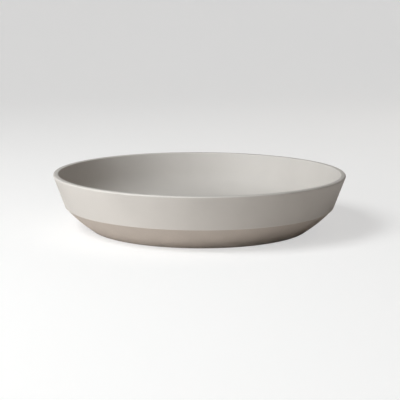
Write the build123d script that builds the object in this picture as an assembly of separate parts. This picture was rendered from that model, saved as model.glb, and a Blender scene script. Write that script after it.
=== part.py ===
from build123d import *
from math import cos, radians, sin, tan
import os

# A round, deep dish of fired stoneware that stands on a low foot ring.
# The clay body is one piece. A thin matte glaze covers its inside, its lip and its upper
# wall, and stops at the fold where the wall turns in towards the foot. Below the fold the
# clay is bare. Millimetres, +Z up, origin at the centre of the foot ring's flat face.

# The finished dish, over the glaze.
rim_diameter = 240.0        # at the widest, across the rounded lip
height = 45.0

# The outside. Leans are degrees from vertical, and both walls open upwards.
wall_lean = 19.9
fold_height = 17.8
upper_facet_lean = 43.6     # the facet below the fold swells: it starts steeper than it ends
lower_facet_lean = 53.0
belly_share = 0.5           # height of the swelling, as a share of the fold's height
belly_radius = 100.0
foot_width = 7.0            # flat face of the foot ring, before its edges are rounded
foot_depth = 1.8            # how far the ring stands below the underside
foot_inner_lean = 35.0

# The clay and the glaze on it, measured square to the surface.
clay_wall = 3.5
clay_floor = 4.2
glaze_thickness = 0.4

# Rounded corners of the clay.
cove_radius = 35.0          # inside, from the wall down to the floor
lip_radius = 0.8            # both edges of the lip
fold_radius = 1.2
foot_radius = 0.9           # outer edge of the foot ring
foot_inner_radius = 0.8     # inner edge of the foot ring
underside_radius = 1.5      # where the foot ring meets the underside

# The lower end of the glaze, on the outer wall.
glaze_stop_gap = 0.2        # along the wall, down to the start of the rounded fold
glaze_stop_radius = 0.3     # rounded arris of that end


def wall_radius(z, inward):
    """Radius at height z of a line parallel to the upper wall, this far inward of its surface."""
    slope = tan(radians(wall_lean))
    stretch = 1 / cos(radians(wall_lean))
    cut_by_rounding = (lip_radius + glaze_thickness) * (slope + stretch - 1)
    return rim_diameter / 2 + cut_by_rounding - (height - z) * slope - inward * stretch


def glazed_corners(cover):
    """Floor centre, floor edge and both lip edges, of a surface this far above the clay."""
    floor = foot_depth + clay_floor + cover
    top = height - glaze_thickness + cover
    inside = glaze_thickness + clay_wall + cover
    outside = glaze_thickness - cover
    return [
        (0, floor),
        (wall_radius(floor, inside), floor),
        (wall_radius(top, inside), top),
        (wall_radius(top, outside), top),
    ]


def glazed_radii(cover):
    """Roundings of the floor edge and of both lip edges, of a surface this far above the clay."""
    return [cove_radius - cover, lip_radius + cover, lip_radius + cover]


def bare_corners():
    """Fold, belly, both edges of the foot ring, and the underside as far as its centre."""
    fold_at = wall_radius(fold_height, glaze_thickness)
    belly_height = belly_share * fold_height
    belly_at = fold_at - (fold_height - belly_height) * tan(radians(upper_facet_lean))
    foot_outside = belly_at - belly_height * tan(radians(lower_facet_lean))
    foot_inside = foot_outside - foot_width
    underside_edge = foot_inside - foot_depth * tan(radians(foot_inner_lean))
    return [
        (fold_at, fold_height),
        (belly_at, belly_height),
        (foot_outside, 0),
        (foot_inside, 0),
        (underside_edge, foot_depth),
        (0, foot_depth),
    ]


def glaze_stop():
    """The two corners of the glaze's lower end, on the clay and at the glaze's surface."""
    lean = radians(wall_lean)
    fold_tangent = fold_radius * tan(radians(upper_facet_lean - wall_lean) / 2)
    z = fold_height + (fold_tangent + glaze_stop_gap) * cos(lean)
    on_clay = (wall_radius(z, glaze_thickness), z)
    at_surface = (on_clay[0] + glaze_thickness * cos(lean), z - glaze_thickness * sin(lean))
    return [on_clay, at_surface]


def revolved(corners, radii):
    """Solid of revolution about Z from a half section whose first and last corners lie on Z."""
    with BuildPart() as turned:
        with BuildSketch(Plane.XZ):
            with BuildLine():
                FilletPolyline(*corners, radius=radii)
                Line(corners[-1], corners[0])
            make_face()
        revolve(axis=Axis.Z)
    return turned.part


def clay_body():
    """The fired clay, with its foot ring."""
    corners = glazed_corners(0) + bare_corners()
    bare_radii = [fold_radius, belly_radius, foot_radius, foot_inner_radius, underside_radius]
    return revolved(corners, glazed_radii(0) + bare_radii)


def glaze_coat():
    """The glaze, a closed shell on the clay from the inside floor over the lip to the fold."""
    corners = glazed_corners(0) + glaze_stop() + glazed_corners(glaze_thickness)[::-1]
    stop_radii = [0, glaze_stop_radius]
    return revolved(corners, glazed_radii(0) + stop_radii + glazed_radii(glaze_thickness)[::-1])


os.makedirs("parts", exist_ok=True)
export_step(clay_body(), "parts/clay_body.step")
export_step(glaze_coat(), "parts/glaze_coat.step")
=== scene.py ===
# %% [markdown]
# # A round stoneware dish
#
# This lesson dresses one dish: a fired clay body with a matte glaze over its inside, its lip and
# its upper wall. The real dish is turned on a wheel, so every shape on it follows one rule: a half
# section goes once round an axis. The lesson builds that rule as a Geometry Nodes tree, feeds it
# two sections, and then makes two dry, quiet finishes: a pale stone-grey glaze, and bare clay that
# is a little darker and warmer.
#
# The frame holds the dish as it was engineered. Its sizes come first, because everything that
# Blender adds has to stay on them.

# %% Load the frame
from math import cos, pi, radians, sin, tan

import bpy
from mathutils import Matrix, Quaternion, Vector


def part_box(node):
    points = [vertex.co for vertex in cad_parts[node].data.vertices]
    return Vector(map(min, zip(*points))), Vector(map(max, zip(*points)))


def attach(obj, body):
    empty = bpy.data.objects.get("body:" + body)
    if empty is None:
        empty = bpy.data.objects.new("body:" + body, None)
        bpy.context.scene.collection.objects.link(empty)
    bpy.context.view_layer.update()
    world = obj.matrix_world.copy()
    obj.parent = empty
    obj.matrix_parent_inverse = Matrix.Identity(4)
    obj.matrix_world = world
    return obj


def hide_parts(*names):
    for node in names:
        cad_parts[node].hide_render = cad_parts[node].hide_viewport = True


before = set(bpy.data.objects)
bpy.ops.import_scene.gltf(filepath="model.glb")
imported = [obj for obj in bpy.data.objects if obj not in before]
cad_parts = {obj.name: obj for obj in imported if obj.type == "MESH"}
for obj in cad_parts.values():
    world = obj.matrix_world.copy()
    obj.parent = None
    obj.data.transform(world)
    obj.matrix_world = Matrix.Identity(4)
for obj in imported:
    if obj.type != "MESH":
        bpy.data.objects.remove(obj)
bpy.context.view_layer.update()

print("nodes:", sorted(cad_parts))

# %% [markdown]
# ## Sizes
#
# Everything that the frame can tell is read from it: how wide and high the dish is, how thick the
# glaze lies (the difference between the two pieces' tops) and where the clay's floor is (the
# lowest point of the glaze). The rest are the dish's own working sizes, in metres. Leans are
# measured from vertical, as a potter would hold a template against the wall.

# %% Read the sizes
MM = 0.001
_, clay_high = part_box("clay_body")
glaze_low, glaze_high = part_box("glaze_coat")

rim_radius = glaze_high.x
height = glaze_high.z
glaze = glaze_high.z - clay_high.z
clay_floor = glaze_low.z

wall_lean = radians(19.9)
upper_facet_lean = radians(43.6)
lower_facet_lean = radians(53.0)
foot_inner_lean = radians(35)
fold_height = 17.8 * MM
belly_height = 0.5 * fold_height
foot_width = 7 * MM
foot_depth = 1.8 * MM
clay_wall = 3.5 * MM

cove_round = 35 * MM
lip_round = 0.8 * MM
fold_round = 1.2 * MM
belly_round = 100 * MM
foot_round = 0.9 * MM
foot_inner_round = 0.8 * MM
underside_round = 1.5 * MM
stop_round = 0.3 * MM
stop_gap = 0.2 * MM

print(f"rim radius {rim_radius / MM:.2f} mm, height {height / MM:.2f} mm,",
      f"glaze {glaze / MM:.2f} mm")

# %% [markdown]
# ## The half section
#
# A section is a short list of sharp corners with a radius for each one. Real clay never keeps a
# sharp corner, and neither should a mesh: a rounded edge catches a thin line of light, and that
# line is most of what tells the eye that something is solid. `rounded` turns the corners into
# points, with arcs where the radii say and evenly spaced points along the straight runs.

# %% Turn corners into a rounded line
ARC_STEP = radians(4)       # the most that one step of a rounded corner turns


def divided(start, end, spacing):
    """Points from start up to, but not with, end, no further apart than spacing."""
    count = max(1, round((end - start).length / spacing))
    return [start.lerp(end, i / count) for i in range(count)]


def rounded(corners, radii, spacing):
    """Points of a line through corners, rounded at every corner but the first and the last."""
    corners = [Vector(c) for c in corners]
    points = []
    last = corners[0]
    for before, corner, after, radius in zip(corners, corners[1:], corners[2:], radii):
        incoming = (corner - before).normalized()
        outgoing = (after - corner).normalized()
        turn = incoming.angle_signed(outgoing)
        reach = radius * tan(abs(turn) / 2)
        start = corner - incoming * reach
        points += divided(last, start, spacing)
        side = -1 if turn > 0 else 1
        centre = start + side * radius * Vector((-incoming.y, incoming.x))
        steps = max(1, round(abs(turn) / ARC_STEP), round(radius * abs(turn) / spacing))
        arm = start - centre
        for i in range(steps):
            swing = side * abs(turn) * i / steps
            points.append(centre + Vector((
                arm.x * cos(swing) - arm.y * sin(swing),
                arm.x * sin(swing) + arm.y * cos(swing),
            )))
        last = corner + outgoing * reach
    points += divided(last, corners[-1], spacing)
    points.append(corners[-1])
    return points

# %% [markdown]
# ## The two outlines
#
# Both outlines share a run that starts on the axis at the floor and climbs the cove to the lip.
# `wall_at` gives the upper wall's slanted line at any height and any depth below its surface, so
# clay and glaze share one line and can't drift apart. The clay goes on round the fold and the foot
# ring to the underside. The glaze turns round at its lower end and comes back along its own
# surface.

# %% Corners of the clay and of the glaze
def wall_at(z, inward):
    """Radius of the upper wall's line at height z, inward metres below the glazed surface."""
    slope, stretch = tan(wall_lean), 1 / cos(wall_lean)
    cut_by_rounding = (lip_round + glaze) * (slope + stretch - 1)
    return rim_radius + cut_by_rounding - (height - z) * slope - inward * stretch


def floor_to_lip(cover):
    """Floor centre, floor edge and both lip edges of a surface this far above the clay."""
    floor = clay_floor + cover
    top = height - glaze + cover
    inside, outside = glaze + clay_wall + cover, glaze - cover
    return [(0, floor), (wall_at(floor, inside), floor), (wall_at(top, inside), top),
            (wall_at(top, outside), top)]


fold_radius = wall_at(fold_height, glaze)
belly_radius = fold_radius - (fold_height - belly_height) * tan(upper_facet_lean)
foot_outside = belly_radius - belly_height * tan(lower_facet_lean)
foot_inside = foot_outside - foot_width
underside_edge = foot_inside - foot_depth * tan(foot_inner_lean)
fold_to_underside = [(fold_radius, fold_height), (belly_radius, belly_height), (foot_outside, 0),
                     (foot_inside, 0), (underside_edge, foot_depth), (0, foot_depth)]

fold_reach = fold_round * tan((upper_facet_lean - wall_lean) / 2)
stop_height = fold_height + (fold_reach + stop_gap) * cos(wall_lean)
stop_on_clay = Vector((wall_at(stop_height, glaze), stop_height))
stop_outside = stop_on_clay + glaze * Vector((cos(wall_lean), -sin(wall_lean)))

clay_rounds = [cove_round, lip_round, lip_round]
glaze_rounds = [cove_round - glaze, lip_round + glaze, lip_round + glaze]
print(f"fold {2 * fold_radius / MM:.1f} mm across, foot {2 * foot_outside / MM:.1f} mm across")

# %% [markdown]
# ## The wheel
#
# A revolved shape can be made with the Screw modifier or Spin, or by hand in a lathe script.
# Geometry Nodes win here because the tree can do more than turn the section: it also knows the
# angle of every point. So the same tree cuts the turning tool's spiral into the underside and lets
# the glaze's lower end wander a little, as a dipped edge does.
#
# The section comes in as a plain line of points. A grid gets one row for each of them and one
# column for each step round, every grid point looks up its section point, and a rotation sends it
# to its place. Two attributes ride on the section: `tooled` says where the tool's spiral shows,
# and `slides` says which way a point may wander.

# %% A helper that adds nodes
def add(tree, kind, feeds=(), **settings):
    """Adds a node. Feeds go to inputs by name or number: a socket is linked, a value is set."""
    node = tree.nodes.new(kind)
    node.location.x = 180 * len(tree.nodes)
    for key, value in settings.items():
        setattr(node, key, value)
    for key, feed in dict(feeds).items():
        if isinstance(feed, bpy.types.NodeSocket):
            tree.links.new(feed, node.inputs[key])
        else:
            node.inputs[key].default_value = feed
    return node


def calc(tree, operation, *values):
    """Adds a Math node and gives its output."""
    return add(tree, "ShaderNodeMath", enumerate(values), operation=operation).outputs[0]


def whole(tree, operation, *values):
    """Adds an Integer Math node and gives its output."""
    return add(tree, "FunctionNodeIntegerMath", enumerate(values), operation=operation).outputs[0]


def sockets(tree, direction, named):
    """Declares a tree's inputs or outputs, as name: (socket type, default)."""
    for name, (kind, default) in named.items():
        item = tree.interface.new_socket(name, in_out=direction, socket_type=kind)
        if default is not None:
            item.default_value = default

# %% Build the wheel tree
STEPS_ROUND = 240
WANDER_WAVES = 2.0          # noise scale on a circle of radius 1
MERGE_DISTANCE = 0.001 * MM


def wheel_tree():
    """Geometry Nodes tree that turns a section line into a closed solid of revolution."""
    tree = bpy.data.node_groups.new("Wheel", "GeometryNodeTree")
    sockets(tree, "INPUT", {
        "Section": ("NodeSocketGeometry", None),
        "Steps": ("NodeSocketInt", STEPS_ROUND),
        "Spiral Depth": ("NodeSocketFloat", 0.0),
        "Spiral Pitch": ("NodeSocketFloat", 3 * MM),
        "Wander": ("NodeSocketFloat", 0.0),
        "Wander Waves": ("NodeSocketFloat", WANDER_WAVES),
        "Material": ("NodeSocketMaterial", None),
    })
    sockets(tree, "OUTPUT", {"Geometry": ("NodeSocketGeometry", None)})
    given = add(tree, "NodeGroupInput").outputs

    section_size = add(tree, "GeometryNodeAttributeDomainSize", {0: given["Section"]})
    rows = section_size.outputs["Point Count"]
    columns = whole(tree, "ADD", given["Steps"], 1)
    grid = add(tree, "GeometryNodeMeshGrid", {"Vertices X": columns, "Vertices Y": rows})
    index = add(tree, "GeometryNodeInputIndex").outputs[0]
    row = whole(tree, "MODULO", index, rows)
    column = whole(tree, "DIVIDE_FLOOR", index, rows)
    angle = calc(tree, "DIVIDE", calc(tree, "MULTIPLY", column, 2 * pi), given["Steps"])

    def on_section(data_type, value):
        return add(tree, "GeometryNodeSampleIndex", {0: given["Section"], 1: value, 2: row},
                   data_type=data_type).outputs[0]

    def attribute(data_type, name):
        named = add(tree, "GeometryNodeInputNamedAttribute", {0: name}, data_type=data_type)
        return on_section(data_type, named.outputs[0])

    place = on_section("FLOAT_VECTOR", add(tree, "GeometryNodeInputPosition").outputs[0])
    radius = add(tree, "ShaderNodeSeparateXYZ", {0: place}).outputs["X"]

    turns = calc(tree, "DIVIDE", radius, given["Spiral Pitch"])
    phase = calc(tree, "ADD", calc(tree, "MULTIPLY", turns, 2 * pi), angle)
    groove = calc(tree, "MULTIPLY", calc(tree, "COSINE", phase), given["Spiral Depth"])
    lift = calc(tree, "MULTIPLY", groove, attribute("FLOAT", "tooled"))
    cut = add(tree, "ShaderNodeCombineXYZ", {"Z": lift}).outputs[0]

    ring = add(tree, "ShaderNodeCombineXYZ",
               {0: calc(tree, "COSINE", angle), 1: calc(tree, "SINE", angle)}).outputs[0]
    waves = add(tree, "ShaderNodeTexNoise", {"Vector": ring, "Scale": given["Wander Waves"],
                                             "Detail": 2.0})
    swing = calc(tree, "MULTIPLY", calc(tree, "SUBTRACT", waves.outputs[0], 0.5), given["Wander"])
    slide = attribute("FLOAT_VECTOR", "slides")
    wander = add(tree, "ShaderNodeVectorMath", {0: slide, "Scale": swing}, operation="SCALE")

    cut_place = add(tree, "ShaderNodeVectorMath", {0: place, 1: cut}).outputs[0]
    worked = add(tree, "ShaderNodeVectorMath", {0: cut_place, 1: wander.outputs[0]}).outputs[0]
    turned = add(tree, "ShaderNodeVectorRotate", {"Vector": worked, "Angle": angle},
                 rotation_type="Z_AXIS")
    placed = add(tree, "GeometryNodeSetPosition", {"Geometry": grid.outputs["Mesh"],
                                                   "Position": turned.outputs[0]})
    closed = add(tree, "GeometryNodeMergeByDistance", {"Geometry": placed.outputs[0],
                                                       "Distance": MERGE_DISTANCE})
    smooth = add(tree, "GeometryNodeSetShadeSmooth", {"Geometry": closed.outputs[0]})
    real = add(tree, "GeometryNodeRealizeInstances", {"Geometry": smooth.outputs[0]})
    dressed = add(tree, "GeometryNodeSetMaterial", {"Geometry": real.outputs[0],
                                                    "Material": given["Material"]})
    add(tree, "NodeGroupOutput", {0: dressed.outputs[0]})
    return tree


wheel = wheel_tree()
print("wheel tree:", len(wheel.nodes), "nodes")

# %% [markdown]
# ## Turn the pieces
#
# A section becomes a mesh of loose points and edges in the XZ plane, the modifier turns it, and
# the evaluated result is copied into a plain mesh. The modifier goes with the section, so the
# finished piece holds nothing live. Its object stays at the origin, because its place is in its
# mesh.

# %% A helper that turns a section into a piece
def section_mesh(name, points, tooled, slides):
    """Line of points in the XZ plane, with the two attributes that the wheel reads."""
    mesh = bpy.data.meshes.new(name)
    edges = [(i, i + 1) for i in range(len(points) - 1)]
    mesh.from_pydata([(p.x, 0, p.y) for p in points], edges, [])
    mesh.attributes.new("tooled", "FLOAT", "POINT").data.foreach_set("value", tooled)
    flat = [number for slide in slides for number in slide]
    mesh.attributes.new("slides", "FLOAT_VECTOR", "POINT").data.foreach_set("vector", flat)
    return mesh


def turned_piece(name, points, material, tooled=None, slides=None, **inputs):
    """Turns a section on the wheel and gives the finished piece as a plain mesh object."""
    tooled = tooled or [0.0] * len(points)
    slides = slides or [(0, 0, 0)] * len(points)
    blank = bpy.data.objects.new(name + "_section", section_mesh(name, points, tooled, slides))
    bpy.context.scene.collection.objects.link(blank)
    modifier = blank.modifiers.new("Wheel", "NODES")
    modifier.node_group = wheel
    identifiers = {item.name: item.identifier for item in wheel.interface.items_tree
                   if item.item_type == "SOCKET" and item.in_out == "INPUT"}
    for socket, value in {"Material": material, **inputs}.items():
        modifier[identifiers[socket]] = value
    graph = bpy.context.evaluated_depsgraph_get()
    mesh = bpy.data.meshes.new_from_object(blank.evaluated_get(graph))
    mesh.name = name
    bpy.data.objects.remove(blank)
    piece = bpy.data.objects.new(name, mesh)
    bpy.context.scene.collection.objects.link(piece)
    print(f"{name}: {len(points)} section points, {len(mesh.vertices)} vertices,",
          f"{len(mesh.polygons)} faces")
    return piece

# %% [markdown]
# ## Grain, rings and bands
#
# Three effects are shared by the two finishes, so each is a shader node group with its own
# inputs. All of them read Object coordinates, which here are the dish's own metres, so nothing
# slides when the dish or the camera moves.
#
# - **Fine grain** gives two masks: a soft cloudiness and a fine tooth.
# - **Turning rings** follow radius plus height, which grows steadily up the wall, a little
#   disturbed, as a tool and a sponge leave them.
# - **Edge band** is 1 on a circle round the axis and fades within a width. Rounded edges are
#   circles on a dish, so one group finds the lip, the glaze's lower end and the foot.

# %% Build the shared shader groups
NOISE_SPAN = (0.3, 0.7)     # most of a noise texture's values lie between these
DRIFT_SIZE = 25 * MM        # size of the patches that push the turning rings off true


def shader_group(name, inputs, outputs):
    """Empty shader group with named sockets. Gives the tree and its input sockets."""
    tree = bpy.data.node_groups.new(name, "ShaderNodeTree")
    sockets(tree, "INPUT", inputs)
    sockets(tree, "OUTPUT", outputs)
    return tree, add(tree, "NodeGroupInput").outputs


def remap(tree, value, low, high, to_low=0.0, to_high=1.0, smooth=False):
    """Adds a Map Range node, clamped, and gives its output."""
    kind = "SMOOTHSTEP" if smooth else "LINEAR"
    return add(tree, "ShaderNodeMapRange", {"Value": value, "From Min": low, "From Max": high,
                                            "To Min": to_low, "To Max": to_high},
               interpolation_type=kind).outputs[0]


def length(tree, a, b):
    """Length of a vector with these two parts."""
    squares = calc(tree, "ADD", calc(tree, "MULTIPLY", a, a), calc(tree, "MULTIPLY", b, b))
    return calc(tree, "SQRT", squares)


def radius_and_height(tree):
    """Distance from the axis and height above the foot, from Object coordinates."""
    place = add(tree, "ShaderNodeTexCoord").outputs["Object"]
    x, y, z = add(tree, "ShaderNodeSeparateXYZ", {0: place}).outputs
    return length(tree, x, y), z


def fine_grain():
    tree, given = shader_group("Fine grain", {
        "Cloud Size": ("NodeSocketFloat", 30 * MM),
        "Tooth Size": ("NodeSocketFloat", 0.6 * MM),
    }, {"Cloud": ("NodeSocketFloat", None), "Tooth": ("NodeSocketFloat", None)})
    place = add(tree, "ShaderNodeTexCoord").outputs["Object"]
    masks = []
    for size, detail in (("Cloud Size", 4.0), ("Tooth Size", 3.0)):
        noise = add(tree, "ShaderNodeTexNoise", {
            "Vector": place, "Scale": calc(tree, "DIVIDE", 1.0, given[size]), "Detail": detail})
        masks.append(remap(tree, noise.outputs[0], *NOISE_SPAN))
    add(tree, "NodeGroupOutput", enumerate(masks))
    return tree


def turning_rings():
    tree, given = shader_group("Turning rings", {
        "Pitch": ("NodeSocketFloat", 3 * MM),
        "Unevenness": ("NodeSocketFloat", 0.5),
    }, {"Rings": ("NodeSocketFloat", None)})
    radius, z = radius_and_height(tree)
    along = calc(tree, "ADD", radius, z)
    place = add(tree, "ShaderNodeTexCoord").outputs["Object"]
    drift = add(tree, "ShaderNodeTexNoise", {"Vector": place, "Scale": 1 / DRIFT_SIZE,
                                             "Detail": 2.0})
    turns = calc(tree, "DIVIDE", along, given["Pitch"])
    pushed = calc(tree, "MULTIPLY", drift.outputs[0], given["Unevenness"])
    shifted = calc(tree, "ADD", turns, pushed)
    wave = calc(tree, "SINE", calc(tree, "MULTIPLY", shifted, 2 * pi))
    add(tree, "NodeGroupOutput", {0: remap(tree, wave, -1.0, 1.0)})
    return tree


def edge_band():
    tree, given = shader_group("Edge band", {
        "Radius": ("NodeSocketFloat", 120 * MM),
        "Height": ("NodeSocketFloat", 45 * MM),
        "Width": ("NodeSocketFloat", 2 * MM),
    }, {"Band": ("NodeSocketFloat", None)})
    radius, z = radius_and_height(tree)
    across = calc(tree, "SUBTRACT", radius, given["Radius"])
    up = calc(tree, "SUBTRACT", z, given["Height"])
    away = calc(tree, "DIVIDE", length(tree, across, up), given["Width"])
    add(tree, "NodeGroupOutput", {0: remap(tree, away, 0.0, 1.0, 1.0, 0.0, smooth=True)})
    return tree


grain, rings, band = fine_grain(), turning_rings(), edge_band()
print("shader groups:", [g.name for g in (grain, rings, band)])

# %% Helpers that place a group in a material
def place_group(tree, group, **values):
    """Adds a group to a material and sets its inputs, with _ for a space in a name."""
    node = add(tree, "ShaderNodeGroup", node_tree=group)
    for name, value in values.items():
        node.inputs[name.replace("_", " ")].default_value = value
    return node.outputs


def scaled(colour, share):
    """The same colour, darker for a share below 1 and lighter above it."""
    return tuple(share * c for c in colour)


def faded(tree, mask, share):
    """The mask, held down to a share of its strength."""
    return calc(tree, "MULTIPLY", mask, share)


def blend(tree, masks, shares):
    """Two masks added up, each at its share."""
    return calc(tree, "ADD", *(faded(tree, mask, share) for mask, share in zip(masks, shares)))


def tinted(tree, mask, colour, tint):
    """Mixes a tint over a colour by a mask. Colours are sockets or red, green and blue."""
    node = add(tree, "ShaderNodeMix", {0: mask}, data_type="RGBA")
    for socket, value in ((node.inputs[6], colour), (node.inputs[7], tint)):
        if isinstance(value, bpy.types.NodeSocket):
            tree.links.new(value, socket)
        else:
            socket.default_value = (*value, 1)
    return node.outputs[2]


def new_material(name):
    """Material with an empty tree but for the output. Gives the material, tree and output."""
    material = bpy.data.materials.new(name)
    material.use_nodes = True
    tree = material.node_tree
    tree.nodes.clear()
    return material, tree, add(tree, "ShaderNodeOutputMaterial")

# %% [markdown]
# ## The matte glaze
#
# A matte glaze is not flat paint. It is a stony skin with a very fine tooth that scatters the
# light, slightly cloudy where it lies thicker, and thin on every arris, where it breaks to a
# paler line. On the lip that paler line is also a painted highlight, standing in for the line of
# light that a rounded lip catches. The steps stay small: on the real dish they are felt more than
# seen.

# %% Make the matte glaze
STONE_GREY = (0.582, 0.547, 0.511)
# Paler colour on the arrises: the glaze breaking thin, and on the lip a painted highlight too.
PALE_BREAK_AND_HIGHLIGHT = (0.715, 0.680, 0.640)
GLAZE_CLOUDINESS = 0.025    # how much lighter the thick patches are, and how much darker the thin
GLAZE_PITS = (0.10, 0.80)   # share of the tooth that darkens, and what it leaves of the colour
# Share of that paler colour: glaze break, and on the lip a painted highlight.
GLAZE_BREAK_AND_HIGHLIGHT = 0.6           # share of the paler colour on an arris
GLAZE_ROUGHNESS = (0.52, 0.62)
GLAZE_RELIEF = (0.6, 0.4)   # shares of the tooth and of the rings


def matte_glaze():
    material, tree, output = new_material("matte_glaze")
    cloud, tooth = place_group(tree, grain, Cloud_Size=28 * MM, Tooth_Size=0.5 * MM)
    ring = place_group(tree, rings, Pitch=4.5 * MM, Unevenness=0.9)[0]
    lip_inside = wall_at(height, 2 * glaze + clay_wall)
    lip_outside = wall_at(height, 0)
    arrises = [place_group(tree, band, Radius=r, Height=z, Width=w)[0] for r, z, w in (
        (lip_inside, height, 1.1 * MM), (lip_outside, height, 1.3 * MM),
        (stop_outside.x, stop_outside.y, 0.7 * MM))]
    # Mask of the paler line: where the glaze breaks thin on the lip and at its lower end, and on
    # the lip a painted highlight.
    break_and_highlight = calc(tree, "MAXIMUM", calc(tree, "MAXIMUM", arrises[0], arrises[1]), arrises[2])

    thinner = scaled(STONE_GREY, 1 - GLAZE_CLOUDINESS)
    thicker = scaled(STONE_GREY, 1 + GLAZE_CLOUDINESS)
    pits, pit_shade = GLAZE_PITS
    colour = tinted(tree, cloud, thinner, thicker)
    colour = tinted(tree, faded(tree, tooth, pits), colour, scaled(STONE_GREY, pit_shade))
    # Paler line on the arrises: glaze break, with a painted highlight on the lip.
    colour = tinted(tree, faded(tree, break_and_highlight, GLAZE_BREAK_AND_HIGHLIGHT), colour, PALE_BREAK_AND_HIGHLIGHT)
    roughness = remap(tree, cloud, 0.0, 1.0, *GLAZE_ROUGHNESS)
    relief = blend(tree, (tooth, ring), GLAZE_RELIEF)
    bump = add(tree, "ShaderNodeBump", {"Strength": 0.5, "Distance": 0.02 * MM, "Height": relief})
    shader = add(tree, "ShaderNodeBsdfPrincipled", {
        "Base Color": colour, "Roughness": roughness, "Normal": bump.outputs[0],
        "Specular IOR Level": 0.35})
    tree.links.new(shader.outputs[0], output.inputs["Surface"])
    return material

# %% [markdown]
# ## The bare clay
#
# Below the fold nothing covers the clay. It is drier and a little darker and warmer than the
# glaze, with fine sand in it. The foot ring's flat face is rubbed by every shelf that it has stood
# on, so it is smoother and a touch greyer, and the edges beside it are worn paler.

# %% Make the bare clay
WARM_CLAY = (0.510, 0.450, 0.400)
RUBBED_GREY = (0.45, 0.43, 0.41)
CLAY_CLOUDINESS = 0.04
CLAY_PITS = (0.22, 0.72)    # share of the tooth that darkens, and what it leaves of the colour
CLAY_SAND = (0.25, 0.55)    # the same for the grains of sand
CLAY_WORN = (0.5, 1.15)     # the same for the worn edges, which are paler
CLAY_RUBBED = 0.3           # share of the greyer colour on the foot ring's flat face
CLAY_ROUGHNESS = (0.88, 0.62)   # elsewhere, and on the rubbed face
CLAY_RELIEF = (0.7, 0.3)    # shares of the tooth and of the rings
SAND_SIZE = 1.6 * MM
SAND_EDGE = (0.10, 0.16)    # where a grain ends, as shares of the distance between grains


def bare_clay():
    material, tree, output = new_material("bare_clay")
    cloud, tooth = place_group(tree, grain, Cloud_Size=18 * MM, Tooth_Size=0.7 * MM)
    ring = place_group(tree, rings, Pitch=2.1 * MM, Unevenness=0.6)[0]
    worn = [place_group(tree, band, Radius=r, Height=0.0, Width=w)[0] for r, w in (
        (foot_outside, 1.2 * MM), (foot_inside, 1.0 * MM))]
    paler = calc(tree, "MAXIMUM", *worn)
    rubbed = place_group(tree, band, Radius=(foot_outside + foot_inside) / 2, Height=0.0,
                         Width=foot_width / 2)[0]
    place = add(tree, "ShaderNodeTexCoord").outputs["Object"]
    sand = add(tree, "ShaderNodeTexVoronoi", {"Vector": place, "Scale": 1 / SAND_SIZE})
    speck = remap(tree, sand.outputs["Distance"], *SAND_EDGE, 1.0, 0.0)

    colour = tinted(tree, cloud, scaled(WARM_CLAY, 1 - CLAY_CLOUDINESS),
                    scaled(WARM_CLAY, 1 + CLAY_CLOUDINESS))
    for mask, (share, shade) in ((tooth, CLAY_PITS), (speck, CLAY_SAND), (paler, CLAY_WORN)):
        colour = tinted(tree, faded(tree, mask, share), colour, scaled(WARM_CLAY, shade))
    colour = tinted(tree, faded(tree, rubbed, CLAY_RUBBED), colour, RUBBED_GREY)
    roughness = remap(tree, rubbed, 0.0, 1.0, *CLAY_ROUGHNESS)
    relief = blend(tree, (tooth, ring), CLAY_RELIEF)
    bump = add(tree, "ShaderNodeBump", {"Strength": 0.7, "Distance": 0.04 * MM, "Height": relief})
    shader = add(tree, "ShaderNodeBsdfPrincipled", {
        "Base Color": colour, "Roughness": roughness, "Normal": bump.outputs[0],
        "Specular IOR Level": 0.3})
    tree.links.new(shader.outputs[0], output.inputs["Surface"])
    return material

# %% [markdown]
# ## The clay piece
#
# The section runs with the clay on its left, from the underside's centre out over the foot ring,
# up and over the lip and down to the floor, because the order of the points decides which way the
# faces look. The underside gets finer points than the rest, enough to carry the tool's spiral.

# %% Turn the clay
SPACING = 2.5 * MM          # between the points of a section
SPIRAL_PITCH = 3.2 * MM
SPIRAL_DEPTH = 0.08 * MM
POINTS_IN_A_PITCH = 8


def clay_section():
    """Points of the clay's section, and how much of the spiral each one carries."""
    flat_end = underside_edge - 2 * underside_round
    tooled_run = divided(Vector((0, foot_depth)), Vector((flat_end, foot_depth)),
                         SPIRAL_PITCH / POINTS_IN_A_PITCH)
    underside_to_fold = fold_to_underside[-2::-1]
    corners = [(flat_end, foot_depth), *underside_to_fold, *floor_to_lip(0)[::-1]]
    radii = [underside_round, foot_inner_round, foot_round, belly_round, fold_round,
             *clay_rounds[::-1]]
    others = rounded(corners, radii, SPACING)
    weights = [min(1.0, p.x / SPIRAL_PITCH, (flat_end - p.x) / SPIRAL_PITCH) for p in tooled_run]
    return tooled_run + others, weights + [0.0] * len(others)


clay_points, clay_tooled = clay_section()
clay = turned_piece("clay_dish", clay_points, bare_clay(), tooled=clay_tooled,
                    **{"Spiral Depth": SPIRAL_DEPTH, "Spiral Pitch": SPIRAL_PITCH})

# %% [markdown]
# ## The glaze piece
#
# The glaze is a shell with a real thickness, so its lower end casts its own thin shadow line. Only
# the points near that end may slide, up and down the wall, and less the further up they are.

# %% Turn the glaze
WANDER = 0.25 * MM
WANDER_REACH = 4 * MM       # how far up the wall the wander dies away


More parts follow.
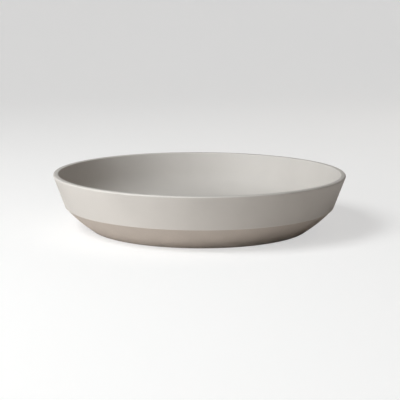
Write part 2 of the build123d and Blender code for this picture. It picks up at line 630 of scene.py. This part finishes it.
def glaze_section():
    """Points of the glaze's section, and the way that each may slide along the wall."""
    corners = [*floor_to_lip(0), stop_on_clay, stop_outside, *floor_to_lip(glaze)[::-1]]
    radii = [*clay_rounds, 0, stop_round, *glaze_rounds[::-1]]
    points = rounded(corners, radii, SPACING)
    up_the_wall = Vector((sin(wall_lean), 0, cos(wall_lean)))
    slides = []
    for p in points:
        outside = p.x > wall_at(p.y, glaze + clay_wall / 2)
        near = max(0.0, 1 - (p.y - stop_outside.y) / WANDER_REACH) if outside else 0.0
        slides.append(tuple(min(1.0, near) * up_the_wall))
    return points, slides


glaze_points, glaze_slides = glaze_section()
coat = turned_piece("glaze_skin", glaze_points, matte_glaze(), slides=glaze_slides, Wander=WANDER)

# %% Tie the pieces to the frame
for piece, node, slot in ((clay, "clay_body", "bare_clay"), (coat, "glaze_coat", "matte_glaze")):
    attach(piece, "root")
    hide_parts(node)

# %% [markdown]
# ## Floor, light and camera
#
# The dish stands on a pale round floor whose edge sweeps up all the way round, so there is no
# horizon from any side. A large soft light stands in front and to the left, with a low one under
# it. Both are close, so they are stronger on the near side of the dish and fall off across it,
# which is what models the long even wall. A weak warm fill from behind and a faint surround keep
# the far side from going black.

# %% Make the floor
PALE_FLOOR = (0.45, 0.44, 0.43)
FLOOR_BOUNCE = (0.87, 0.83, 0.80)
FLOOR_LIFT = 0.56
FLOOR_MOTTLE = 0.02         # how much darker the darkest patches are
FLOOR_RADIUS = 2.6
SWEEP_RADIUS = 1.4
FLOOR_EDGE = 3.0
FLOOR_SPACING = 0.2


def floor_material():
    """Pale floor: lifted towards white where the camera sees it, warm white in its bounce."""
    material, tree, output = new_material("pale_floor")
    place = add(tree, "ShaderNodeTexCoord").outputs["Object"]
    noise = add(tree, "ShaderNodeTexNoise", {"Vector": place, "Scale": 3.0, "Detail": 3.0})
    paper = tinted(tree, noise.outputs[0], scaled(PALE_FLOOR, 1 - FLOOR_MOTTLE), PALE_FLOOR)
    seen = add(tree, "ShaderNodeBsdfDiffuse", {"Color": paper})
    lift = add(tree, "ShaderNodeEmission", {"Strength": FLOOR_LIFT})
    lifted = add(tree, "ShaderNodeAddShader", {0: seen.outputs[0], 1: lift.outputs[0]})
    bounce = add(tree, "ShaderNodeBsdfDiffuse", {"Color": (*FLOOR_BOUNCE, 1)})
    camera_ray = add(tree, "ShaderNodeLightPath").outputs["Is Camera Ray"]
    mix = add(tree, "ShaderNodeMixShader",
              {0: camera_ray, 1: bounce.outputs[0], 2: lifted.outputs[0]})
    tree.links.new(mix.outputs[0], output.inputs["Surface"])
    return material


def floor_sweep():
    """Round floor whose edge rises all the way round, with its upper side facing in."""
    corners = [(FLOOR_RADIUS, FLOOR_EDGE), (FLOOR_RADIUS, 0), (0, 0)]
    points = rounded(corners, [SWEEP_RADIUS], FLOOR_SPACING)
    return turned_piece("floor_sweep", points, floor_material())


floor_sweep()

# %% Set the lights
DISH_MIDDLE = Vector((0, 0, height / 2))
LIGHT_DISTANCE = 1.3
COOL_WHITE = (0.945, 0.983, 1.0)
WARM_WHITE = (1.0, 0.93, 0.84)
SURROUND_COLOUR = (1.0, 0.95, 0.88, 1)
SURROUND_STRENGTH = 0.01


def soft_light(name, turn, rise, size, power, colour):
    """Square soft light seen by no camera. Turn is in degrees from the front, to the right."""
    light = bpy.data.lights.new(name, "AREA")
    light.shape = "RECTANGLE"
    light.size = light.size_y = size
    light.energy, light.color = power, colour
    lamp = bpy.data.objects.new(name, light)
    turn, rise = radians(turn), radians(rise)
    lamp.location = DISH_MIDDLE + LIGHT_DISTANCE * Vector((
        sin(turn) * cos(rise), -cos(turn) * cos(rise), sin(rise)))
    lamp.rotation_euler = (DISH_MIDDLE - lamp.location).to_track_quat("-Z", "Y").to_euler()
    lamp.visible_camera = False
    bpy.context.scene.collection.objects.link(lamp)


def faint_surround():
    """World light, weak and warm."""
    world = bpy.data.worlds.new("surround")
    world.use_nodes = True
    inputs = world.node_tree.nodes["Background"].inputs
    inputs["Color"].default_value = SURROUND_COLOUR
    inputs["Strength"].default_value = SURROUND_STRENGTH
    return world


soft_light("key", turn=-55, rise=46, size=0.6, power=14.2, colour=COOL_WHITE)
soft_light("low_key", turn=-45, rise=12, size=0.5, power=6.1, colour=COOL_WHITE)
soft_light("fill", turn=140, rise=32, size=0.6, power=1.3, colour=WARM_WHITE)
bpy.context.scene.world = faint_surround()
bpy.context.scene.view_settings.view_transform = "Standard"

# %% Stand the camera up
CAMERA_DISTANCE = 0.92
CAMERA_RISE = radians(10.16)
CAMERA_ROLL = radians(0.26)
LOOK_AT = Vector((0.0005, 0, 0.021))
LENS, SENSOR = 99.7, 36.0


def add_camera():
    camera = bpy.data.cameras.new("camera")
    camera.lens, camera.sensor_width = LENS, SENSOR
    camera.dof.use_dof = False
    stand = bpy.data.objects.new("camera", camera)
    back = Vector((0, -cos(CAMERA_RISE), sin(CAMERA_RISE)))
    stand.location = LOOK_AT + CAMERA_DISTANCE * back
    level = back.to_track_quat("Z", "Y")
    stand.rotation_euler = (level @ Quaternion((0, 0, 1), CAMERA_ROLL)).to_euler()
    bpy.context.scene.collection.objects.link(stand)
    return stand


bpy.context.scene.camera = add_camera()
